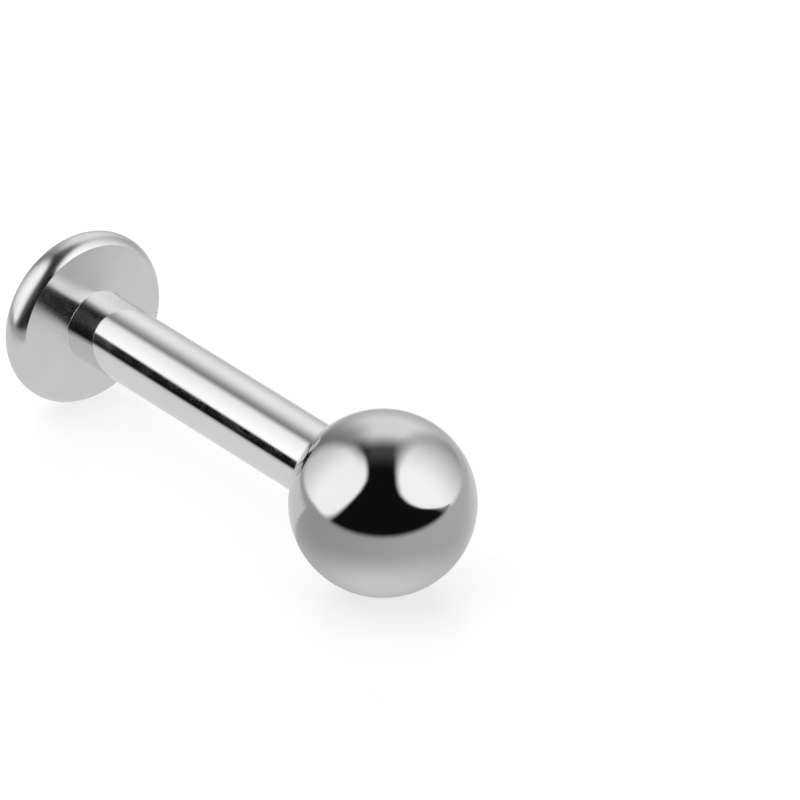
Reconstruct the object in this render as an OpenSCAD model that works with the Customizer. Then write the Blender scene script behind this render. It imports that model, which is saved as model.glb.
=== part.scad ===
// Labret stud with an internally threaded post, lying at rest on its ball and on the rim of its disc.
// The stud's own axis is worked out upright, from the disc at the bottom to the ball at the top,
// and is then laid down along X with the ball towards +X.

/* [Disc] */
// Diameter of the disc over the widest ring of its rim
disc_d = 4.0; // [3.4:0.1:5]
// Radius of the round rim, from the widest ring to the flat back
rim_r = 0.45; // [0.4:0.01:0.6]
// Distance from the edge of the face back to the widest ring of the rim
rim_drop = 0.35; // [0.2:0.01:0.38]
// Height that the face rises as a cone from its edge to the post
face_rise = 0.17; // [0.05:0.01:0.3]

/* [Post] */
// Diameter of the post, 14 gauge
post_d = 1.63; // [1.5:0.01:1.8]
// Length of the post from the disc's face to its open end
post_l = 8.5; // [6:0.5:12]
// Radius of the round outer edge of the open end
end_round = 0.1; // [0.05:0.01:0.15]
// Depth of the countersink at the mouth of the bore
mouth_h = 0.06; // [0.03:0.01:0.1]
// Length of the bore beyond the tip of the pin
bore_spare = 0.5; // [0.35:0.05:1]

/* [Thread] */
// Diameter over the crests of the pin's thread
thread_d = 1.1; // [1.05:0.01:1.15]
// Distance from one crest to the next
thread_pitch = 0.25; // [0.24:0.01:0.3]
// Height of the pin's thread above its core
thread_h = 0.14; // [0.12:0.01:0.15]
// Height that the post's thread reaches in past the pin's crests
thread_grip = 0.09; // [0.06:0.01:0.09]
// Width of the flat on a crest
crest_w = 0.03; // [0.02:0.01:0.04]
// Running clearance between the two threads
thread_gap = 0.03; // [0.02:0.005:0.03]

/* [Ball] */
// Diameter of the ball
ball_d = 4.0; // [3.6:0.1:5]
// Diameter of the dished seat at its outer edge
seat_d = 2.4; // [2.2:0.05:2.6]
// Depth of the dished seat from its outer edge to the hole
seat_h = 0.18; // [0.1:0.01:0.25]
// Diameter of the hole around the pin
hole_d = 1.36; // [1.3:0.01:1.45]
// Depth of the hole around the pin
hole_h = 0.4; // [0.3:0.05:0.6]
// Gap between the post's end and the seat when the ball is screwed home
seat_gap = 0.02; // [0.01:0.005:0.05]

/* [Pin] */
// Length of the pin beyond the outer edge of the seat
pin_l = 1.1; // [0.9:0.05:1.5]
// Length of the pin's plain root below the hole's floor
root_l = 0.9; // [0.6:0.05:1]
// Depth of the chamfer at the pin's tip
tip_h = 0.08; // [0.04:0.01:0.1]
// Length of plain neck between the thread and the bond
neck_l = 0.1; // [0.05:0.01:0.15]

/* [Bond] */
// Gap that the bond and the pin's root keep from the metal around them
bond_gap = 0.02; // [0.01:0.005:0.03]
// Depth of the bond's surface below the hole's edge
bond_drop = 0.03; // [0.02:0.01:0.08]
// Height that the bond creeps up beside the pin
bond_creep = 0.05; // [0.02:0.01:0.08]

/* [Hidden] */
steel = "#c4c6c8";
bright_steel = "#d2d4d6";
bond_black = "#161616";

// Smooth round surfaces and the steps of one thread turn
round_fn = 96;
turn_steps = 24;
// Flank angle of the thread
flank = 30;
// Steps over which a thread fades in and out at its ends
fade_steps = 10;
// Least share of its height that a fading thread keeps
fade_least = 0.1;
// Depth that a thread is let into the round it stands on
let_in = 0.02;
// Half angle of the drill point at the bottom of the bore
drill_angle = 59;
// Length that a cutter runs past the surface that it leaves through
past = 0.2;

disc_r = disc_d / 2;
post_r = post_d / 2;
ball_r = ball_d / 2;
seat_r = seat_d / 2;
hole_r = hole_d / 2;
crest_r = thread_d / 2;
core_r = crest_r - thread_h;
bore_r = crest_r - thread_grip;

// Heights along the axis, from the edge of the disc's face
back_at = -rim_drop - rim_r;
ring_at = -rim_drop;
end_at = face_rise + post_l;
face_edge_r = disc_r - rim_r + sqrt(rim_r * rim_r - rim_drop * rim_drop);

// The ball's centre, from the round edge of the post's end resting in the dished seat
seat_angle = atan(seat_h / (seat_r - hole_r));
seat_deep = sqrt(ball_r * ball_r - seat_r * seat_r);
edge_in = seat_r - post_r + end_round;
seat_shift = (end_round + seat_gap - edge_in * sin(seat_angle)) / cos(seat_angle);
ball_at = end_at + seat_deep - end_round + seat_shift;
seat_edge_at = ball_at - seat_deep;
hole_edge_at = seat_edge_at + seat_h;
hole_floor_at = hole_edge_at + hole_h;
root_end_at = hole_floor_at + root_l;
tip_at = seat_edge_at - pin_l;
bond_top_at = hole_edge_at + bond_drop;
thread_end_at = bond_top_at - bond_creep - neck_l;
bore_end_at = tip_at - bore_spare;

// Half widths of the pin's ridge, and of the post's groove that clears it
function ridge_w(r) = crest_w / 2 + (crest_r - r) * tan(flank);
function groove_w(r) = ridge_w(r) + thread_gap / cos(flank);

// The lean that lays the disc's rim and the ball on one level surface
rim_centre_r = disc_r - rim_r;
span = ball_at - ring_at;
rest_lean = atan2(rim_centre_r, span) + asin((rim_r - ball_r) / norm([span, rim_centre_r]));
ball_x = (ball_at - back_at - ball_r) / 2;

// Lays the upright stud down, with the ball's centre at its own radius above the surface
module lay_down() {
    translate([ball_x, 0, ball_r]) rotate([0, 90 + rest_lean, 0]) translate([0, 0, -ball_at]) children();
}

// One ring of a thread: its four corners at height at, faded to the share f of its height
function coil_ring(at, in_r, out_r, in_w, out_w, f) =
    let (turn = 360 * at / thread_pitch, r = in_r + (out_r - in_r) * f)
    [for (c = [[in_r, -in_w], [r, -out_w], [r, out_w], [in_r, in_w]])
        [c[0] * cos(turn), c[0] * sin(turn), at + c[1]]];

// A right-handed thread from one height to another, as one swept ridge
module coil(from, to, in_r, out_r, in_w, out_w) {
    steps = round((to - from) / thread_pitch * turn_steps);
    rise = thread_pitch / turn_steps;
    corners = [for (i = [0:steps])
        each coil_ring(from + rise * i, in_r, out_r, in_w, out_w,
            max(fade_least, min(1, i / fade_steps, (steps - i) / fade_steps)))];
    walls = [for (i = [0:steps - 1], j = [0:3])
        let (a = 4 * i + j, b = 4 * i + (j + 1) % 4)
        each [[a, b, b + 4], [a, b + 4, a + 4]]];
    last = 4 * steps;
    polyhedron(corners, concat(walls, [[3, 2, 1, 0], [last, last + 1, last + 2, last + 3]]), convexity = 20);
}

// Half section of the disc: a square core, a round rim cut off at the face, and the low cone of the face
module disc_section() {
    translate([0, back_at]) square([rim_centre_r, -back_at]);
    intersection() {
        translate([rim_centre_r, ring_at]) circle(rim_r, $fn = round_fn);
        translate([0, back_at]) square([disc_r, -back_at]);
    }
    polygon([[0, -rim_drop], [rim_centre_r, -rim_drop], [face_edge_r, 0], [post_r, face_rise], [0, face_rise]]);
}

// Half section of the post with a round outer edge at its open end
module post_section() {
    square([post_r, end_at - end_round]);
    square([post_r - end_round, end_at]);
    translate([post_r - end_round, end_at - end_round]) circle(end_round, $fn = round_fn);
}

// The blind bore: a drill point, the plain bore and the countersunk mouth
module bore_cut() {
    point_h = bore_r / tan(drill_angle);
    translate([0, 0, bore_end_at]) cylinder(h = end_at - bore_end_at + past, r = bore_r, $fn = round_fn);
    translate([0, 0, bore_end_at - point_h]) cylinder(h = point_h, r1 = 0, r2 = bore_r, $fn = round_fn);
    translate([0, 0, end_at - mouth_h])
        cylinder(h = mouth_h + past, r1 = crest_r + thread_gap, r2 = crest_r + thread_gap + mouth_h + past,
            $fn = round_fn);
}

// Disc and post, turned from one bar
module disc_post() {
    groove_r = crest_r + thread_gap;
    color(steel) lay_down() difference() {
        rotate_extrude($fn = round_fn) union() {
            disc_section();
            post_section();
        }
        bore_cut();
        coil(bore_end_at + bore_spare / 2, end_at + past, bore_r - let_in, groove_r,
            groove_w(bore_r), groove_w(groove_r));
    }
}

// Ball with the dished seat for the post's end, the hole around the pin and the pin's socket
module ball() {
    cap_h = ball_r - seat_deep + past;
    color(steel) lay_down() translate([0, 0, ball_at]) difference() {
        sphere(ball_r, $fn = round_fn);
        translate([0, 0, -seat_deep - cap_h])
            cylinder(h = cap_h + seat_h, r1 = seat_r + cap_h / tan(seat_angle), r2 = hole_r, $fn = round_fn);
        translate([0, 0, hole_edge_at - ball_at - seat_h / 2])
            cylinder(h = seat_h / 2 + hole_h, r = hole_r, $fn = round_fn);
        translate([0, 0, hole_floor_at - ball_at - past])
            cylinder(h = past + root_l + bond_gap, r = core_r + bond_gap, $fn = round_fn);
    }
}

// Pin: a round core with a chamfered tip and one ridge wound around it
module threaded_pin() {
    color(bright_steel) lay_down() {
        translate([0, 0, tip_at + tip_h])
            cylinder(h = root_end_at - tip_at - tip_h, r = core_r, $fn = round_fn);
        translate([0, 0, tip_at]) cylinder(h = tip_h, r1 = core_r - tip_h, r2 = core_r, $fn = round_fn);
        coil(tip_at + tip_h + ridge_w(core_r), thread_end_at - ridge_w(core_r), core_r - let_in, crest_r,
            ridge_w(core_r), ridge_w(crest_r));
    }
}

// Dark bond that fills the hole around the pin and creeps up beside it
module bond_ring() {
    in_r = core_r + bond_gap;
    out_r = hole_r - bond_gap;
    foot = hole_floor_at - bond_gap;
    creep_r = in_r + bond_creep;
    color(bond_black) lay_down() rotate_extrude($fn = round_fn)
        polygon([[in_r, foot], [out_r, foot], [out_r, bond_top_at], [creep_r, bond_top_at],
            [in_r, bond_top_at - bond_creep]]);
}

disc_post();
ball();
threaded_pin();
bond_ring();
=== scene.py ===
# Labret stud at rest on a pale floor: polished disc and post, polished ball, cut pin thread and dark bond
import math

import bpy
import numpy as np
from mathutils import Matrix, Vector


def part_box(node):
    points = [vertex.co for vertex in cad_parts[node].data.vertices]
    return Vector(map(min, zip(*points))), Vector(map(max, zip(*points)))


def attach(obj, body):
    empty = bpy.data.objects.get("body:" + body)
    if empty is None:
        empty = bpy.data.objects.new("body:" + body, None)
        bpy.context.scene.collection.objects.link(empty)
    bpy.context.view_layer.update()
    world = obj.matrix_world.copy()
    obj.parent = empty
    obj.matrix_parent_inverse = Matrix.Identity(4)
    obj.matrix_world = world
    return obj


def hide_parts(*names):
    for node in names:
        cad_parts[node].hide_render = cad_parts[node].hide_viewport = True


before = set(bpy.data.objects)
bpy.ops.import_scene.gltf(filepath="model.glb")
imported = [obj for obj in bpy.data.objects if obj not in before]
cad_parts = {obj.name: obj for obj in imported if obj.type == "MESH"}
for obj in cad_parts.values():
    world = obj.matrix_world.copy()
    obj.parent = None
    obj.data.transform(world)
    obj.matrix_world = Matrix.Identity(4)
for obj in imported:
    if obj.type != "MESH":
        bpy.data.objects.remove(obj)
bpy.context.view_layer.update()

# Sizes in millimetres. The stud's axis runs along X, and heights along it count from the edge of the
# disc's face.
MM = 0.001
DISC_R, RIM_R, RIM_DROP, FACE_RISE = 2.0, 0.45, 0.35, 0.17
POST_R, POST_L, END_ROUND, MOUTH_H, BORE_SPARE = 0.815, 8.5, 0.1, 0.06, 0.5
CREST_R, PITCH, THREAD_H, THREAD_GRIP, CREST_W, THREAD_GAP = 0.55, 0.25, 0.14, 0.09, 0.03, 0.03
BALL_R, SEAT_R, SEAT_H, HOLE_R, HOLE_H, SEAT_GAP = 2.0, 1.2, 0.18, 0.68, 0.4, 0.02
PIN_L, ROOT_L, TIP_H, NECK_L = 1.1, 0.9, 0.08, 0.1
BOND_GAP, BOND_DROP, BOND_CREEP = 0.02, 0.03, 0.05
FLANK = math.radians(30)
DRILL_ANGLE = math.radians(59)

# Small rounds at edges that the part's own model leaves sharp
FACE_EDGE_ROUND, POST_FOOT_ROUND, MOUTH_ROUND, STEP_ROUND, BORE_END_ROUND = 0.014, 0.02, 0.012, 0.008, 0.015
SOCKET_END_ROUND, SOCKET_ROUND, HOLE_FLOOR_ROUND = 0.01, 0.006, 0.02
HOLE_EDGE_ROUND, SEAT_ROUND, PIT_ROUND, TIP_ROUND, BOND_ROUND = 0.014, 0.018, 0.008, 0.02, 0.01

# Rows of a mesh along one pitch of a thread, and how far apart two places still count as the same
BORE_ROWS, PIN_ROWS = 28, 32
NEAR = 0.001

# Places along the axis, worked out as the part's own are
BACK_AT = -RIM_DROP - RIM_R
END_AT = FACE_RISE + POST_L
FACE_EDGE_R = DISC_R - RIM_R + math.sqrt(RIM_R**2 - RIM_DROP**2)
CORE_R = CREST_R - THREAD_H
BORE_R = CREST_R - THREAD_GRIP
SEAT_ANGLE = math.atan(SEAT_H / (SEAT_R - HOLE_R))
SEAT_DEEP = math.sqrt(BALL_R**2 - SEAT_R**2)
EDGE_IN = SEAT_R - POST_R + END_ROUND
SEAT_SHIFT = (END_ROUND + SEAT_GAP - EDGE_IN * math.sin(SEAT_ANGLE)) / math.cos(SEAT_ANGLE)
BALL_AT = END_AT + SEAT_DEEP - END_ROUND + SEAT_SHIFT
SEAT_EDGE_AT = BALL_AT - SEAT_DEEP
HOLE_EDGE_AT = SEAT_EDGE_AT + SEAT_H
HOLE_FLOOR_AT = HOLE_EDGE_AT + HOLE_H
ROOT_END_AT = HOLE_FLOOR_AT + ROOT_L
TIP_AT = SEAT_EDGE_AT - PIN_L
BOND_TOP_AT = HOLE_EDGE_AT + BOND_DROP
THREAD_END_AT = BOND_TOP_AT - BOND_CREEP - NECK_L
BORE_END_AT = TIP_AT - BORE_SPARE

# The axis in the shared frame: where its heights start, and how high it lies
AXIS_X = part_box("disc_post")[0].x / MM - BACK_AT
AXIS_Z = BALL_R
BALL_X = AXIS_X + BALL_AT

# Camera: its direction, its distance and focal length, and the pixel that the ball's centre falls on
AZIMUTH, ELEVATION = math.radians(50.87), math.radians(29.53)
DISTANCE = 165.1
FOCAL_PIXELS = 7832
BALL_PIXEL = (382.95, 503.1)
IMAGE = 800
SENSOR = 36
TOWARD = (math.sin(AZIMUTH), -math.cos(AZIMUTH), 0)
ACROSS = (math.cos(AZIMUTH), math.sin(AZIMUTH), 0)


# Outlines: points (height along the axis, distance from it), with the metal's outside on the left

def straight(start, end, steps=1):
    """Points on a straight line, end + (start - end) * share."""
    return np.linspace(start, end, steps + 1)


def arc(centre, radius, start, end, steps):
    """Points on a round, centre + radius * (cos a, sin a), for angles a in degrees."""
    a = np.radians(np.linspace(start, end, steps + 1))
    return np.c_[centre[0] + radius * np.cos(a), centre[1] + radius * np.sin(a)]


def joined(parts, edges, steps=5, hold=0.004):
    """One outline from parts that meet end to end. Each meeting corner becomes an arc of its edge radius,
    tangent to both sides: it starts radius * tan(half the turn) before the corner. A point held close to
    each end of the arc keeps its shading off the flat beside it."""
    parts = [np.array(p, float) for p in parts]
    for k, edge in enumerate(edges):
        corner = parts[k][-1]
        u, v = corner - parts[k][-2], parts[k + 1][1] - corner
        u, v = u / np.linalg.norm(u), v / np.linalg.norm(v)
        turn = math.atan2(u[0] * v[1] - u[1] * v[0], u @ v)
        reach = edge * math.tan(abs(turn) / 2)
        a = np.linspace(0, turn, steps + 1)
        inward = np.array([-u[1], u[0]]) * np.sign(turn)
        start = corner - u * reach
        centre = start + inward * edge
        spoke = start - centre
        bend = centre + np.c_[spoke[0] * np.cos(a) - spoke[1] * np.sin(a),
                              spoke[0] * np.sin(a) + spoke[1] * np.cos(a)]
        clear = reach + 1.5 * hold
        before = parts[k][:-1][np.linalg.norm(parts[k][:-1] - corner, axis=1) > clear]
        after = parts[k + 1][1:][np.linalg.norm(parts[k + 1][1:] - corner, axis=1) > clear]
        if edge > 0:
            bend = np.vstack([start - u * hold, bend, corner + v * (reach + hold)])
        else:
            bend = corner[None]
        parts[k], parts[k + 1] = before, np.vstack([bend, after])
    return np.vstack(parts)


def turned(outline, turns):
    """The outline carried around the axis: heights s and distances r on a grid of rows by turns."""
    ones = np.ones((1, turns))
    return outline[:, :1] * ones, outline[:, 1:] * ones


def turn_angles(turns):
    """Evenly spaced angles around the axis, from the lowest point towards +Y. The first isn't repeated."""
    return np.arange(turns) * 2 * np.pi / turns


def strip_middles(outline):
    """Height and distance from the axis of the middle of each strip between two points of an outline."""
    return (outline[:-1].T + outline[1:].T) / 2


def new_object(name, verts, faces, materials):
    """A mesh object at the origin, from corner points in metres and faces."""
    mesh = bpy.data.meshes.new(name)
    mesh.from_pydata(verts.tolist(), [], faces)
    for material in materials:
        mesh.materials.append(material)
    made = bpy.data.objects.new(name, mesh)
    bpy.context.scene.collection.objects.link(made)
    return made


def piece(name, s, r, materials, zones, loop=False):
    """Mesh over the grid (s, r): the point at height s, distance r and angle t lies at
    x = start of the axis + s, y = r sin t, z = height of the axis - r cos t. Columns close on themselves.
    Rows close too in a loop, and otherwise the first and the last row are each one point on the axis.
    zones gives each strip of faces its material."""
    rows, turns = s.shape
    t = turn_angles(turns)[None]
    points = np.stack([AXIS_X + s, r * np.sin(t), AXIS_Z - r * np.cos(t)], -1) * MM
    if loop:
        verts = points.reshape(-1, 3)
        here = np.arange(rows * turns).reshape(rows, turns)
        there = np.roll(here, -1, 0)
        caps = []
        strips = np.asarray(zones)
    else:
        verts = np.vstack([points[1:-1].reshape(-1, 3), points[0, :1], points[-1, :1]])
        grid = np.arange((rows - 2) * turns).reshape(rows - 2, turns)
        here, there = grid[:-1], grid[1:]
        first, last = len(verts) - 2, len(verts) - 1
        caps = np.c_[np.full(turns, first), np.roll(grid[0], -1), grid[0]].tolist()
        caps += np.c_[grid[-1], np.roll(grid[-1], -1), np.full(turns, last)].tolist()
        strips = np.asarray(zones)[1:-1]
    quads = np.stack([here, np.roll(here, -1, 1), np.roll(there, -1, 1), there], -1).reshape(-1, 4)
    made = new_object(name, verts, quads.tolist() + caps, materials)
    ends = [] if loop else [zones[0]] * turns + [zones[-1]] * turns
    polygons = made.data.polygons
    polygons.foreach_set("material_index", np.r_[np.repeat(strips, turns), ends].astype(np.int32))
    polygons.foreach_set("use_smooth", np.ones(len(polygons), bool))
    made.data.update()
    return made


# Threads

def soft_max(a, b, k):
    """The larger of a and b, with a rounded corner of width k: (a + b + sqrt((a - b)^2 + k^2)) / 2."""
    return (a + b + np.sqrt((a - b) ** 2 + k**2)) / 2


def soft_min(a, b, k):
    """The smaller of a and b, with a rounded corner of width k."""
    return -soft_max(-a, -b, k)


def smooth(x):
    """0 below 0, 1 above 1, and 3x^2 - 2x^3 between."""
    x = np.clip(x, 0, 1)
    return x * x * (3 - 2 * x)


def ridge_w(r):
    """Half width of the pin's ridge at distance r from the axis."""
    return CREST_W / 2 + (CREST_R - r) * math.tan(FLANK)


def coil(s, turns, start, end, foot_w, height, corner=0.016, fade=0.104):
    """Height of a right-handed thread on the grid (s, angle t). Its centre line climbs one pitch a turn,
    u is the distance along the axis from that line, and the flank (foot_w - |u|) / tan(flank) is kept
    between nothing and the full height with rounded corners. It fades in and out along its centre line."""
    t = turn_angles(turns)[None]
    u = np.mod(s - PITCH * t / (2 * np.pi) + PITCH / 2, PITCH) - PITCH / 2
    flank = (foot_w - np.abs(u)) / math.tan(FLANK)
    shape = soft_min(soft_max(flank, 0, corner), height, corner)
    centre = s - u
    return shape * smooth((centre - start) / fade) * smooth((end - centre) / fade)


# The four pieces

def disc_and_post(polished, cut, satin):
    """Disc and post, turned from one bar. The outline runs from the middle of the flat back over the round
    rim, up the low cone of the face, along the post, over its end and down the bore to the drill point.
    In the bore, the thread's groove is added to the distance from the axis."""
    turns = 224
    groove_r = CREST_R + THREAD_GAP
    thread_from = BORE_END_AT + BORE_SPARE / 2
    step_at = END_AT - MOUTH_H
    rim_end = math.degrees(math.atan2(FACE_EDGE_R - (DISC_R - RIM_R), RIM_DROP))
    bore_rows = int((step_at - thread_from) / PITCH * BORE_ROWS)
    bore_side_r = POST_R - 0.13
    outside = joined(
        [straight((BACK_AT, 0), (BACK_AT, DISC_R - RIM_R), 12),
         arc((-RIM_DROP, DISC_R - RIM_R), RIM_R, 180, rim_end, 56),
         straight((0, FACE_EDGE_R), (FACE_RISE, POST_R), 14),
         straight((FACE_RISE, POST_R), (END_AT, POST_R), 30),
         straight((END_AT, POST_R), (END_AT, groove_r + MOUTH_H), 4)],
        [0, FACE_EDGE_ROUND, POST_FOOT_ROUND, END_ROUND], steps=8)
    inside = joined(
        [straight((END_AT, groove_r + MOUTH_H), (step_at, groove_r), 3),
         straight((step_at, groove_r), (step_at, BORE_R), 3),
         straight((step_at, BORE_R), (thread_from, BORE_R), bore_rows),
         straight((thread_from, BORE_R), (BORE_END_AT, BORE_R), 6),
         straight((BORE_END_AT, BORE_R), (BORE_END_AT - BORE_R / math.tan(DRILL_ANGLE), 0), 8)],
        [STEP_ROUND, STEP_ROUND, 0, BORE_END_ROUND])
    outline = joined([outside, inside], [MOUTH_ROUND])
    s, r = turned(outline, turns)
    foot_w = ridge_w(BORE_R) + THREAD_GAP / math.cos(FLANK)
    groove = coil(s, turns, thread_from, END_AT + PITCH, foot_w, groove_r - BORE_R)
    at, off = outline.T
    in_bore = (off < groove_r + NEAR) & (at > BORE_END_AT) & (at <= step_at)
    r = np.where(in_bore[:, None], np.maximum(r, BORE_R + groove), r)
    at, off = strip_middles(outline)
    end_face = (at > END_AT - NEAR) & (off < POST_R - END_ROUND)
    bore_side = (at > FACE_RISE + 1) & (off < bore_side_r)
    zones = (end_face | bore_side).astype(int)
    zones[at < FACE_RISE + POST_FOOT_ROUND / 4] = 2
    return piece("turned_disc_and_post", s, r, [polished, cut, satin], zones)


def polished_ball(polished, cut):
    """Ball. The outline runs from the bottom of the pin's socket out of the hole and the dished seat,
    and then over the round from the seat's edge to the far side."""
    turns = 288
    socket_r = CORE_R + BOND_GAP
    seat_turn = 180 - math.degrees(math.asin(SEAT_R / BALL_R))
    outline = joined(
        [straight((ROOT_END_AT + BOND_GAP, 0), (ROOT_END_AT + BOND_GAP, socket_r), 4),
         straight((ROOT_END_AT + BOND_GAP, socket_r), (HOLE_FLOOR_AT, socket_r), 8),
         straight((HOLE_FLOOR_AT, socket_r), (HOLE_FLOOR_AT, HOLE_R), 5),
         straight((HOLE_FLOOR_AT, HOLE_R), (HOLE_EDGE_AT, HOLE_R), 8),
         straight((HOLE_EDGE_AT, HOLE_R), (SEAT_EDGE_AT, SEAT_R), 14),
         arc((BALL_AT, 0), BALL_R, seat_turn, 0, 136)],
        [SOCKET_END_ROUND, SOCKET_ROUND, HOLE_FLOOR_ROUND, HOLE_EDGE_ROUND, SEAT_ROUND])
    s, r = turned(outline, turns)
    at, off = strip_middles(outline)
    below_round = np.hypot(at - BALL_AT, off) < BALL_R - SEAT_ROUND / 3
    return piece("polished_ball", s, r, [polished, cut], below_round.astype(int))


def cut_pin(thread):
    """Pin. A round core from its tip to its root, with the thread's ridge added to the distance from the
    axis. The tip is slightly domed and chamfered, with a shallow pit in its middle from the turning."""
    turns = 192
    thread_rows = int((THREAD_END_AT - TIP_AT - TIP_H) / PITCH * PIN_ROWS)
    dome, pit_r, pit_w, pit_h = 0.012, 0.05, 0.02, 0.01
    outline = joined(
        [straight((TIP_AT + pit_h, 0), (TIP_AT + pit_h, pit_r), 2),
         straight((TIP_AT + pit_h, pit_r), (TIP_AT, pit_r + pit_w), 2),
         straight((TIP_AT, pit_r + pit_w), (TIP_AT + dome, CORE_R - TIP_H), 8),
         straight((TIP_AT + dome, CORE_R - TIP_H), (TIP_AT + TIP_H, CORE_R), 6),
         straight((TIP_AT + TIP_H, CORE_R), (THREAD_END_AT, CORE_R), thread_rows),
         straight((THREAD_END_AT, CORE_R), (ROOT_END_AT, CORE_R), 16),
         straight((ROOT_END_AT, CORE_R), (ROOT_END_AT, 0), 4)],
        [PIT_ROUND, PIT_ROUND, TIP_ROUND, TIP_ROUND, 0, TIP_ROUND])
    s, r = turned(outline, turns)
    foot_w = ridge_w(CORE_R)
    ridge = coil(s, turns, TIP_AT + TIP_H + foot_w, THREAD_END_AT - foot_w, foot_w, THREAD_H)
    at = outline[:, 0]
    threaded = (at > TIP_AT + TIP_H) & (at < THREAD_END_AT)
    r = np.where(threaded[:, None], r + ridge, r)
    return piece("cut_pin", s, r, [thread], np.zeros(len(outline) - 1, int))


def bond_bead(bond):
    """Bond. A closed ring in the hole around the pin. Its open face at distance r is drawn up the pin by
    creep * exp(-(r - inner r) / reach) and up the wall in the same way, by less. It is uneven besides: waves
    of a few turns, strongest midway between pin and wall."""
    turns = 192
    in_r, out_r, foot = CORE_R + BOND_GAP, HOLE_R - BOND_GAP, HOLE_FLOOR_AT - BOND_GAP
    face_rows = 40
    pin_reach, wall_creep, wall_reach, wave_h = 0.035, 0.012, 0.03, 0.006
    walls = joined(
        [straight((BOND_TOP_AT, out_r), (foot, out_r), 8),
         straight((foot, out_r), (foot, in_r), 6),
         straight((foot, in_r), (BOND_TOP_AT - BOND_CREEP, in_r), 10)],
        [BOND_ROUND, BOND_ROUND])
    face = straight((BOND_TOP_AT, in_r), (BOND_TOP_AT, out_r), face_rows)[1:-1]
    s, r = turned(np.vstack([walls, face]), turns)
    t = turn_angles(turns)[None]
    open_face = slice(len(walls), None)
    fr = r[open_face]
    share = (fr - in_r) / (out_r - in_r)
    waves = np.sin(3 * t + 0.6) + 0.7 * np.sin(5 * t + 2.1 + 3 * share) + 0.5 * np.sin(8 * t - 4 * share)
    uneven = wave_h * waves * np.sin(np.pi * share)
    drawn_up = BOND_CREEP * np.exp(-(fr - in_r) / pin_reach) + wall_creep * np.exp(-(out_r - fr) / wall_reach)
    s[open_face] -= drawn_up - uneven
    return piece("bond_bead", s, r, [bond], np.zeros(len(s), int), loop=True)


# Node helpers

def node(tree, kind, settings=(), **sockets):
    """Adds a node. Sockets are named, or numbered as i0, i1, and take a value or another node's output."""
    made = tree.nodes.new(kind)
    for key, value in dict(settings).items():
        setattr(made, key, value)
    for key, value in sockets.items():
        found = made.inputs[int(key[1:])] if key[1:].isdigit() else made.inputs[key.replace("_", " ")]
        if isinstance(value, bpy.types.NodeSocket):
            tree.links.new(value, found)
        else:
            found.default_value = value
    return made


def calc(tree, operation, *values):
    """One step of arithmetic on numbers or outputs."""
    sockets = {f"i{k}": value for k, value in enumerate(values)}
    return node(tree, "ShaderNodeMath", {"operation": operation}, **sockets).outputs[0]


def ease(tree, value, low, high, at_low=0.0, at_high=1.0):
    """A smooth step from at_low to at_high as the value goes from low to high."""
    made = node(tree, "ShaderNodeMapRange", {"interpolation_type": "SMOOTHSTEP"},
                Value=value, From_Min=low, From_Max=high, To_Min=at_low, To_Max=at_high)
    return made.outputs[0]


def blend(tree, share, a, b):
    """Colour a where the share is 0, and b where it is 1."""
    made = node(tree, "ShaderNodeMix", {"data_type": "RGBA"}, i0=share, i6=a, i7=b)
    return made.outputs[2]


def grey(level, tint=(1, 1, 1)):
    """A colour of that brightness, with a faint tint."""
    return (level * tint[0], level * tint[1], level * tint[2], 1)


def empty_material(name):
    """A material that holds only its output, with its nodes and the socket that takes its surface."""
    material = bpy.data.materials.new(name)
    material.use_nodes = True
    tree = material.node_tree
    tree.nodes.clear()
    return material, tree, node(tree, "ShaderNodeOutputMaterial").inputs[0]


def place_in_mm(tree):
    """Position on the piece, in millimetres from the stud's axis."""
    place = node(tree, "ShaderNodeTexCoord").outputs["Object"]
    return node(tree, "ShaderNodeMapping", {"vector_type": "POINT"}, Vector=place,
                Location=(0, 0, -AXIS_Z), Scale=(1 / MM, 1 / MM, 1 / MM)).outputs[0]


def new_material(name):
    """A material with a Principled shader, and its position from the axis in millimetres."""
    material, tree, surface = empty_material(name)
    shader = node(tree, "ShaderNodeBsdfPrincipled")
    tree.links.new(shader.outputs[0], surface)
    return material, tree, shader, place_in_mm(tree)


def noise(tree, place, scale, detail=4.0, roughness=0.5, stretch=(1, 1, 1), turn=(0, 0, 0)):
    """Cloudy noise at a scale in turns per millimetre, stretched and turned as asked."""
    if stretch != (1, 1, 1) or turn != (0, 0, 0):
        place = node(tree, "ShaderNodeMapping", {"vector_type": "POINT"}, Vector=place,
                     Rotation=turn, Scale=stretch).outputs[0]
    made = node(tree, "ShaderNodeTexNoise", {"noise_dimensions": "3D"}, Vector=place,
                Scale=scale, Detail=detail, Roughness=roughness)
    return made.outputs[0]


def from_axis(tree, place):
    """Distance from the stud's axis, in millimetres."""
    parts = node(tree, "ShaderNodeSeparateXYZ", Vector=place)
    squares = calc(tree, "ADD", calc(tree, "MULTIPLY", parts.outputs[1], parts.outputs[1]),
                   calc(tree, "MULTIPLY", parts.outputs[2], parts.outputs[2]))
    return calc(tree, "SQRT", squares)


def along_axis(tree, place):
    """Place along the stud's axis, in millimetres."""
    return node(tree, "ShaderNodeSeparateXYZ", Vector=place).outputs[0]


def tool_travel(tree, place, slope):
    """How far a turning tool has moved: distance from the axis + slope * place along it."""
    return calc(tree, "ADD", from_axis(tree, place), calc(tree, "MULTIPLY", along_axis(tree, place), slope))


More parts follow.
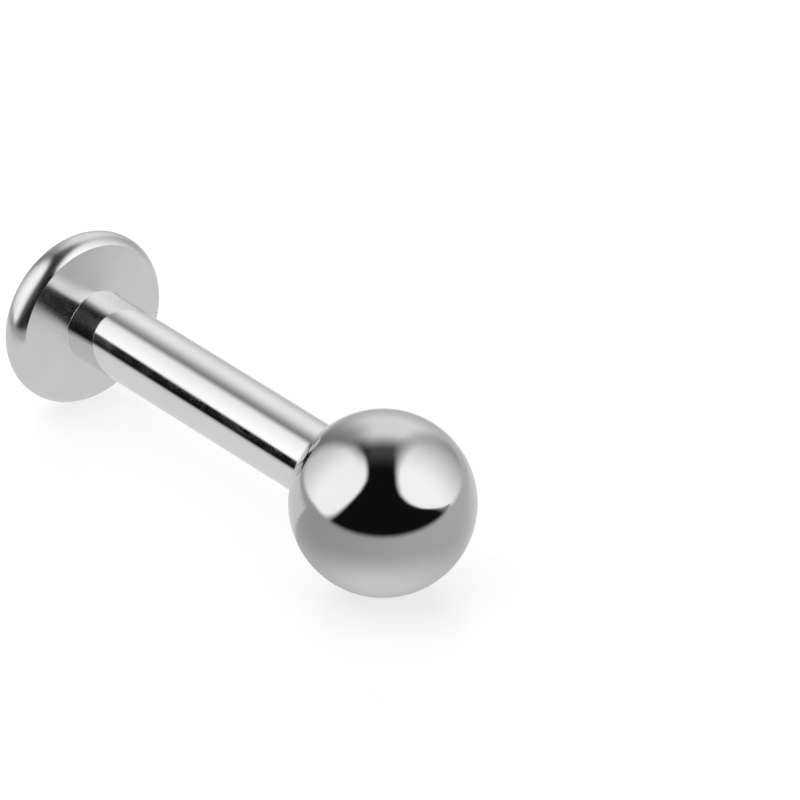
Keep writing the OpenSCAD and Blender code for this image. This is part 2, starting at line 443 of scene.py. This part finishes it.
def around_axis(tree, place):
    """The way that a turning tool runs around the axis: (0, -z, y) at a place (x, y, z) from it, in the
    scene's own frame."""
    parts = node(tree, "ShaderNodeSeparateXYZ", Vector=place)
    minus_z = calc(tree, "MULTIPLY", parts.outputs[2], -1.0)
    run = node(tree, "ShaderNodeCombineXYZ", Y=minus_z, Z=parts.outputs[1])
    in_scene = node(tree, "ShaderNodeVectorTransform",
                    {"vector_type": "VECTOR", "convert_from": "OBJECT", "convert_to": "WORLD"},
                    Vector=run.outputs[0])
    return node(tree, "ShaderNodeVectorMath", {"operation": "NORMALIZE"}, i0=in_scene.outputs[0]).outputs[0]


def bump(tree, height, depth_mm, below=None):
    """Normals of a relief that is depth_mm deep."""
    sockets = {"Height": height, "Strength": 1.0, "Distance": depth_mm * MM}
    if below is not None:
        sockets["Normal"] = below
    return node(tree, "ShaderNodeBump", **sockets).outputs[0]


def hairlines(tree, place, turn, scale, threshold):
    """Fine straight scratches: noise drawn out one way and cut off so that few lines are left."""
    long_noise = noise(tree, place, scale, 2.0, 0.6, stretch=(0.06, 1, 1), turn=turn)
    return ease(tree, long_noise, threshold, threshold + 0.05)


# Finishes. Depths of relief and distances between tool rings are in millimetres, and MID and WIDE are the
# stretches of a noise's values over which a finish changes.
RIPPLE_DEPTH, HAIRLINE_DEPTH, FINE_RING_DEPTH = 0.00015, 0.00002, 0.00004
TOOL_MARK_DEPTH, THREAD_MARK_DEPTH, BOND_LUMP_DEPTH = 0.0009, 0.0022, 0.05
FINE_FEED, COARSE_FEED = 0.035, 0.11
MID, WIDE = (0.35, 0.65), (0.3, 0.7)


def polished_steel(name, brightness):
    """Mirror polish: slow changes of gloss and tone, a few faint hairlines and the ripple from buffing."""
    material, tree, shader, place = new_material(name)
    shader.inputs["Metallic"].default_value = 1
    clouds = noise(tree, place, 0.7, 5)
    smears = noise(tree, place, 3.1, 4, stretch=(0.5, 1, 1))
    tone = blend(tree, ease(tree, clouds, *MID), grey(brightness - 0.012, (0.995, 1, 1.005)),
                 grey(brightness + 0.012, (1, 1, 1.002)))
    tree.links.new(tone, shader.inputs["Base Color"])
    lines = calc(tree, "MAXIMUM", hairlines(tree, place, (0.3, 0.5, 0.9), 42, 0.69),
                 hairlines(tree, place, (1.2, -0.7, -0.4), 55, 0.70))
    gloss = ease(tree, smears, *WIDE, 0.03, 0.06)
    gloss = calc(tree, "ADD", gloss, calc(tree, "MULTIPLY", lines, 0.05))
    tree.links.new(gloss, shader.inputs["Roughness"])
    ripple = bump(tree, noise(tree, place, 1.2, 1), RIPPLE_DEPTH)
    tree.links.new(bump(tree, lines, HAIRLINE_DEPTH, ripple), shader.inputs["Normal"])
    return material


def satin_steel():
    """Turned and lightly polished, as on the disc: very fine rings around the axis, which draw reflections
    out across themselves and leave them sharper along themselves. That fades out at the axis, where the
    rings shrink to a point and have no direction."""
    material, tree, shader, place = new_material("satin_steel")
    shader.inputs["Metallic"].default_value = 1
    shader.inputs["Anisotropic Rotation"].default_value = 0.25
    tree.links.new(around_axis(tree, place), shader.inputs["Tangent"])
    drawn_out = ease(tree, from_axis(tree, place), 0.03, 0.35, 0.0, 0.9)
    tree.links.new(drawn_out, shader.inputs["Anisotropic"])
    clouds = noise(tree, place, 1.1, 5)
    fine = node(tree, "ShaderNodeTexNoise", {"noise_dimensions": "1D"}, W=tool_travel(tree, place, 0.8),
                Scale=60.0, Detail=4.0).outputs[0]
    tone = blend(tree, ease(tree, clouds, *MID), grey(0.725), grey(0.75, (0.998, 1, 1.003)))
    tone = blend(tree, ease(tree, fine, 0.35, 0.7, 0.0, 0.06), tone, grey(0.5))
    tree.links.new(tone, shader.inputs["Base Color"])
    gloss = calc(tree, "ADD", ease(tree, clouds, *WIDE, 0.16, 0.2), ease(tree, fine, *WIDE, 0.0, 0.03))
    tree.links.new(gloss, shader.inputs["Roughness"])
    tree.links.new(bump(tree, fine, FINE_RING_DEPTH), shader.inputs["Normal"])
    return material


def turned_steel():
    """Turned and left bright: fine rings from the tool, cross scratches, small dark pits, duller patches."""
    material, tree, shader, place = new_material("turned_steel")
    shader.inputs["Metallic"].default_value = 1
    distance = from_axis(tree, place)
    wander = calc(tree, "MULTIPLY", noise(tree, place, 2.0, 3), 0.02)
    travel = calc(tree, "ADD", tool_travel(tree, place, 0.7), wander)
    rings = calc(tree, "SINE", calc(tree, "MULTIPLY", travel, 2 * math.pi / FINE_FEED))
    coarse = calc(tree, "SINE", calc(tree, "MULTIPLY", travel, 2 * math.pi / COARSE_FEED))
    clouds = noise(tree, place, 2.4, 6)
    near_hole = ease(tree, distance, HOLE_R + 0.04, HOLE_R + 0.34, 0.1, 0.0)
    pits = ease(tree, calc(tree, "ADD", noise(tree, place, 13, 3), near_hole), 0.66, 0.72)
    lines = hairlines(tree, place, (0.4, 1.1, 0.3), 30, 0.64)
    tone = blend(tree, ease(tree, clouds, *MID), grey(0.56, (1, 1, 1.01)), grey(0.66))
    tone = blend(tree, calc(tree, "MULTIPLY", pits, 0.85), tone, grey(0.09))
    tree.links.new(tone, shader.inputs["Base Color"])
    gloss = calc(tree, "ADD", ease(tree, clouds, *WIDE, 0.16, 0.27), calc(tree, "MULTIPLY", pits, 0.25))
    tree.links.new(gloss, shader.inputs["Roughness"])
    relief = calc(tree, "ADD", calc(tree, "MULTIPLY", rings, 0.5), calc(tree, "MULTIPLY", coarse, 0.8))
    relief = calc(tree, "SUBTRACT", relief, calc(tree, "MULTIPLY", pits, 5.0))
    relief = calc(tree, "SUBTRACT", relief, lines)
    tree.links.new(bump(tree, relief, TOOL_MARK_DEPTH), shader.inputs["Normal"])
    return material


def thread_steel():
    """Cut thread: bright crests, grooves darkened towards their root by painted shade and partly by what the
    cutting left, and tool marks along the coil.
    """
    material, tree, shader, place = new_material("thread_steel")
    shader.inputs["Metallic"].default_value = 1
    distance = from_axis(tree, place)
    clouds = noise(tree, place, 5.0, 5)
    grime_and_shade_noise = noise(tree, place, 14, 5)
    reach = calc(tree, "ADD", distance, calc(tree, "MULTIPLY", calc(tree, "SUBTRACT", grime_and_shade_noise, 0.5), 0.05))
    # Grooves go dark towards their root: painted shade of the deep grooves, and partly the residue that the
    # cutting left there.
    groove = ease(tree, reach, CORE_R + 0.075, CORE_R + 0.135, 1.0, 0.0)
    thread_start = AXIS_X + TIP_AT + TIP_H
    in_thread = ease(tree, along_axis(tree, place), thread_start - 0.02, thread_start + 0.05)
    dark = calc(tree, "MULTIPLY", groove, in_thread)
    tone = blend(tree, ease(tree, clouds, *MID), grey(0.60), grey(0.70))
    tone = blend(tree, calc(tree, "MULTIPLY", dark, 0.93), tone, grey(0.03, (1.0, 0.98, 0.96)))
    tree.links.new(tone, shader.inputs["Base Color"])
    gloss = calc(tree, "ADD", ease(tree, clouds, *WIDE, 0.16, 0.26), calc(tree, "MULTIPLY", dark, 0.2))
    tree.links.new(gloss, shader.inputs["Roughness"])
    marks = noise(tree, place, 30, 3, stretch=(1.0, 0.15, 0.15))
    tree.links.new(bump(tree, calc(tree, "ADD", marks, grime_and_shade_noise), THREAD_MARK_DEPTH), shader.inputs["Normal"])
    return material


def bond_black():
    """Dark glossy bond with a skin that is a little uneven, and dust that takes the shine off in spots."""
    material, tree, shader, place = new_material("bond_black")
    clouds = noise(tree, place, 6.0, 5)
    dust = ease(tree, noise(tree, place, 45, 2), 0.66, 0.74)
    tone = blend(tree, ease(tree, clouds, *WIDE), grey(0.003), grey(0.008, (1.05, 1, 0.95)))
    tone = blend(tree, calc(tree, "MULTIPLY", dust, 0.25), tone, grey(0.1))
    tree.links.new(tone, shader.inputs["Base Color"])
    gloss = calc(tree, "ADD", ease(tree, clouds, *WIDE, 0.05, 0.16), calc(tree, "MULTIPLY", dust, 0.3))
    tree.links.new(gloss, shader.inputs["Roughness"])
    shader.inputs["IOR"].default_value = 1.33
    swells = calc(tree, "MULTIPLY", noise(tree, place, 3.6, 2), 2.0)
    lumps = calc(tree, "ADD", noise(tree, place, 9, 4), swells)
    tree.links.new(bump(tree, lumps, BOND_LUMP_DEPTH), shader.inputs["Normal"])
    return material


cut = turned_steel()
# The post and the ball share one polish; the post's copy is set lighter (0.8) than the ball's (0.66), a
# painted difference of light between the two pieces.
post_piece = disc_and_post(polished_steel("polished_post", 0.8), cut, satin_steel())
ball_piece = polished_ball(polished_steel("polished_ball", 0.66), cut)
pin_piece = cut_pin(thread_steel())
bond_piece = bond_bead(bond_black())

for made, body, cad_node, slot in (
        (post_piece, "post", "disc_post", "steel"),
        (ball_piece, "ball", "ball", "steel"),
        (pin_piece, "ball", "threaded_pin", "thread_steel"),
        (bond_piece, "bond", "bond_ring", "bond")):
    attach(made, body)
    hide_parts(cad_node)


# Floor and light. Extents of the floor, the light card and the clear panes, in millimetres
FLOOR_ENDS = (-600, 600)
CARD_X, CARD_Y, CARD_Z = (-20, 10), (-14, 19), -0.01
PANE_X, PANE_Y, PANE_Z = (BALL_X - 3.3, BALL_X + 3.4), (-2.9, -2.8), (0.2, 4.8)


def reflections_only(made):
    """Shows an object in reflections and nowhere else."""
    made.visible_camera = False
    made.visible_diffuse = False
    made.visible_transmission = False
    made.visible_shadow = False


def flat_card(name, x_range, y_range, z, material):
    """A flat card on a 2 by 2 grid: x and y run between the given ends, in millimetres, facing up."""
    x, y = np.meshgrid(x_range, y_range)
    verts = np.stack([x, y, np.full_like(x, z, float)], -1).reshape(-1, 3) * MM
    made = new_object(name, verts, [(0, 1, 3, 2)], [material])
    return made


def veil():
    """Two clear panes one behind the other, upright and level with the ball, each on a 2 by 2 grid of x
    and z. A reflection on the ball that looks towards the dark flag passes both, and the studio leaves the
    flag out of it."""
    material, tree, surface = empty_material("clear_veil")
    tree.links.new(node(tree, "ShaderNodeBsdfTransparent").outputs[0], surface)
    x, z = np.meshgrid(PANE_X, PANE_Z)
    panes = [np.stack([x, np.full_like(x, y), z], -1).reshape(-1, 3) for y in PANE_Y]
    made = new_object("clear_veil", np.vstack(panes) * MM, [(0, 1, 3, 2), (4, 5, 7, 6)], [material])
    reflections_only(made)


def floor_material():
    """Board of polished white acrylic, lit from below, so it shows faint reflections and hardly a shadow."""
    material, tree, shader, place = new_material("lit_board")
    clouds = noise(tree, place, 0.02, 3)
    tree.links.new(blend(tree, clouds, grey(0.22), grey(0.25)), shader.inputs["Base Color"])
    tree.links.new(ease(tree, clouds, *WIDE, 0.22, 0.27), shader.inputs["Roughness"])
    shader.inputs["IOR"].default_value = 1.5
    shader.inputs["Emission Color"].default_value = grey(1.0)
    tree.links.new(ease(tree, clouds, *WIDE, 0.71, 0.72), shader.inputs["Emission Strength"])
    return material


def bounce_material():
    """Light card with soft edges. Its near corner towards the ball is cut off along a slanting line."""
    material, tree, surface = empty_material("bounce_card")
    parts = node(tree, "ShaderNodeSeparateXYZ", Vector=place_in_mm(tree)).outputs
    near = calc(tree, "MINIMUM", parts[1], 0.0)
    reach = ease(tree, parts[1], 1, 5, 2.4, 3.4)
    soft = ease(tree, parts[1], 0, 3, 0.8, 5.0)
    slant = calc(tree, "SUBTRACT", parts[0], calc(tree, "MULTIPLY", near, 0.87))
    slant = calc(tree, "DIVIDE", calc(tree, "SUBTRACT", slant, reach), soft)
    share = calc(tree, "MULTIPLY", ease(tree, slant, 0, 1, 1.0, 0.0), ease(tree, parts[1], -13, -4))
    share = calc(tree, "MULTIPLY", share, ease(tree, parts[0], -18, -12))
    share = calc(tree, "MULTIPLY", share, ease(tree, parts[1], 7, 18, 1.0, 0.0))
    glow = node(tree, "ShaderNodeEmission", Color=grey(0.75)).outputs[0]
    clear = node(tree, "ShaderNodeBsdfTransparent").outputs[0]
    mixed = node(tree, "ShaderNodeMixShader", i0=share, i1=clear, i2=glow).outputs[0]
    tree.links.new(mixed, surface)
    return material


def curve(tree, value, points):
    """A smooth curve through points (value, height), for values from the first point to the last."""
    low, high = points[0][0], points[-1][0]
    share = node(tree, "ShaderNodeMapRange", Value=value, From_Min=low, From_Max=high).outputs[0]
    made = node(tree, "ShaderNodeFloatCurve", Value=share)
    made.mapping.use_clip = False
    spots = made.mapping.curves[0].points
    spots[0].location, spots[1].location = (0, points[0][1]), (1, points[-1][1])
    for place, height in points[1:-1]:
        spots.new((place - low) / (high - low), height)
    made.mapping.update()
    return made.outputs[0]


def studio():
    """Light from all round, by direction. Each direction has a part to the front (towards the camera), a
    part to the side (the camera's right) and a part up. Turn is its angle about the left-right axis: 0 level
    in front, 90 overhead and 180 level behind. Two softboxes stand at the sides, with their inner edges at a
    sideways part that changes with the turn. Between them it is dark in front, a little lighter overhead
    and light behind. Below lies a grey table. The camera itself sees a plain white."""
    world = bpy.data.worlds.new("studio")
    bpy.context.scene.world = world
    world.use_nodes = True
    tree = world.node_tree
    tree.nodes.clear()
    direction = node(tree, "ShaderNodeTexCoord").outputs["Generated"]

    def part_along(axis):
        return node(tree, "ShaderNodeVectorMath", {"operation": "DOT_PRODUCT"},
                    i0=direction, i1=axis).outputs["Value"]

    front, side, up = part_along(TOWARD), part_along(ACROSS), part_along((0, 0, 1))
    ahead = calc(tree, "MAXIMUM", front, 0.0)
    behind = calc(tree, "MAXIMUM", calc(tree, "MULTIPLY", front, -1.0), 0.0)
    elevation = calc(tree, "DEGREES", calc(tree, "ARCSINE", up))
    turn = calc(tree, "WRAP", calc(tree, "DEGREES", calc(tree, "ARCTAN2", up, front)), 270.0, -90.0)

    light = blend(tree, ease(tree, turn, 70, 100), grey(0.006), grey(0.08))
    light = blend(tree, ease(tree, turn, 98, 129), light, ease(tree, up, 0, 0.47, 0.645, 0.94))

    left_edge = curve(tree, turn, [(-40, 0.96), (-8, 0.92), (8, 0.85), (22, 0.75), (37, 0.58), (50, 0.42),
                                   (64, 0.32), (80, 0.31), (105, 0.37), (135, 0.49), (180, 0.54)])
    right_edge = curve(tree, turn, [(-40, 0.99), (0, 1.02), (12, 0.98), (22, 0.74), (34, 0.47), (47, 0.335),
                                    (63, 0.29), (85, 0.3), (105, 0.33), (135, 0.48), (180, 0.59)])
    in_left = calc(tree, "SUBTRACT", calc(tree, "MULTIPLY", side, -1.0), left_edge)
    in_right = calc(tree, "SUBTRACT", side, right_edge)
    light = blend(tree, ease(tree, in_left, -0.06, 0.06), light, ease(tree, front, -0.8, 0.1, 0.72, 1.29))
    soft = ease(tree, turn, 60, 120, 0.08, 0.19)
    light = blend(tree, ease(tree, calc(tree, "DIVIDE", in_right, soft), -1, 1), light,
                  ease(tree, front, -1.2, 0.35, 0.29, 1.33))

    # Duller seams where a softbox meets the ceiling and the backdrop
    seam_turn = ease(tree, turn, 72, 105)
    wide = ease(tree, turn, 100, 140, 0.24, 0.45)
    outer = ease(tree, calc(tree, "DIVIDE", in_left, wide), -1, 0)
    seam = calc(tree, "MULTIPLY", calc(tree, "MINIMUM", outer, ease(tree, in_left, 0, 0.22, 1.0, 0.0)), 0.68)
    light = blend(tree, calc(tree, "MULTIPLY", seam_turn, seam), light, grey(0))
    seam = ease(tree, calc(tree, "ABSOLUTE", in_right), 0, 0.2, 0.25, 0.0)
    light = blend(tree, calc(tree, "MULTIPLY", seam_turn, seam), light, grey(0))

    # The table, lighter straight below the stud
    rise = calc(tree, "ADD", calc(tree, "ADD", up, calc(tree, "MULTIPLY", ahead, 0.17)), 0.035)
    rise = calc(tree, "DIVIDE", rise, calc(tree, "ADD", calc(tree, "MULTIPLY", ahead, 0.036), 0.05))
    tone = calc(tree, "ADD", calc(tree, "MULTIPLY", side, 0.07), calc(tree, "MULTIPLY", behind, 0.08))
    tone = blend(tree, ease(tree, elevation, -81, -32), grey(0.8), calc(tree, "ADD", tone, 0.478))
    light = blend(tree, ease(tree, rise, -1, 1, 1.0, 0.0), light, tone)

    # A narrow, leaning dark flag at the left, which draws the dark line along the post
    flag_at, flag_lean = -0.69, 280.0
    off_flag = calc(tree, "SUBTRACT", part_along((1, 0, 0)), flag_at)
    height = calc(tree, "ADD", elevation, calc(tree, "MULTIPLY", off_flag, flag_lean))
    flag = ease(tree, calc(tree, "ABSOLUTE", off_flag), 0.012, 0.030, 1.0, 0.0)
    flag = calc(tree, "MULTIPLY", flag, ease(tree, side, -0.6, -0.5, 1.0, 0.0))
    flag = calc(tree, "MULTIPLY", flag, ease(tree, height, 9, 15, 1.0, 0.0))
    flag = calc(tree, "MULTIPLY", flag, ease(tree, height, -17, -7))
    path = node(tree, "ShaderNodeLightPath").outputs
    flag = calc(tree, "MULTIPLY", flag, calc(tree, "LESS_THAN", path["Transparent Depth"], 1.5))
    light = blend(tree, flag, light, grey(0.004))

    seen = path["Is Camera Ray"]
    light = blend(tree, seen, light, grey(1.0))
    background = node(tree, "ShaderNodeBackground", Color=light)
    out = node(tree, "ShaderNodeOutputWorld")
    tree.links.new(background.outputs[0], out.inputs[0])


def overhead_light():
    """Soft light from above for the floor and the duller faces. It isn't seen in reflections."""
    data = bpy.data.lights.new("overhead", "SUN")
    data.energy = 2.0
    data.angle = math.radians(70)
    made = bpy.data.objects.new("overhead", data)
    made.rotation_euler = (math.radians(12), math.radians(-10), 0)
    made.visible_glossy = False
    bpy.context.scene.collection.objects.link(made)


floor = flat_card("floor", FLOOR_ENDS, FLOOR_ENDS, 0, floor_material())
floor.visible_glossy = False
floor.visible_shadow = False
reflections_only(flat_card("bounce_card", CARD_X, CARD_Y, CARD_Z, bounce_material()))
veil()
studio()
overhead_light()


# Camera

def camera():
    """A long lens in the photograph's direction. The ball's centre lies on its pixel at the set distance."""
    right = np.array(ACROSS)
    back = np.array([math.sin(AZIMUTH) * math.cos(ELEVATION), -math.cos(AZIMUTH) * math.cos(ELEVATION),
                     math.sin(ELEVATION)])
    up = np.cross(back, right)
    x, y = (BALL_PIXEL[0] - IMAGE / 2) / FOCAL_PIXELS, (IMAGE / 2 - BALL_PIXEL[1]) / FOCAL_PIXELS
    depth = DISTANCE / math.sqrt(1 + x * x + y * y)
    spot = np.array([BALL_X, 0, AXIS_Z]) - depth * (x * right + y * up - back)
    data = bpy.data.cameras.new("camera")
    data.sensor_width = SENSOR
    data.lens = FOCAL_PIXELS / IMAGE * SENSOR
    data.clip_start, data.clip_end = 0.01, 10
    made = bpy.data.objects.new("camera", data)
    turn = np.eye(4)
    turn[:3, 0], turn[:3, 1], turn[:3, 2], turn[:3, 3] = right, up, back, spot * MM
    made.matrix_world = turn.T.tolist()
    bpy.context.scene.collection.objects.link(made)
    bpy.context.scene.camera = made


camera()
bpy.context.scene.view_settings.view_transform = "Standard"
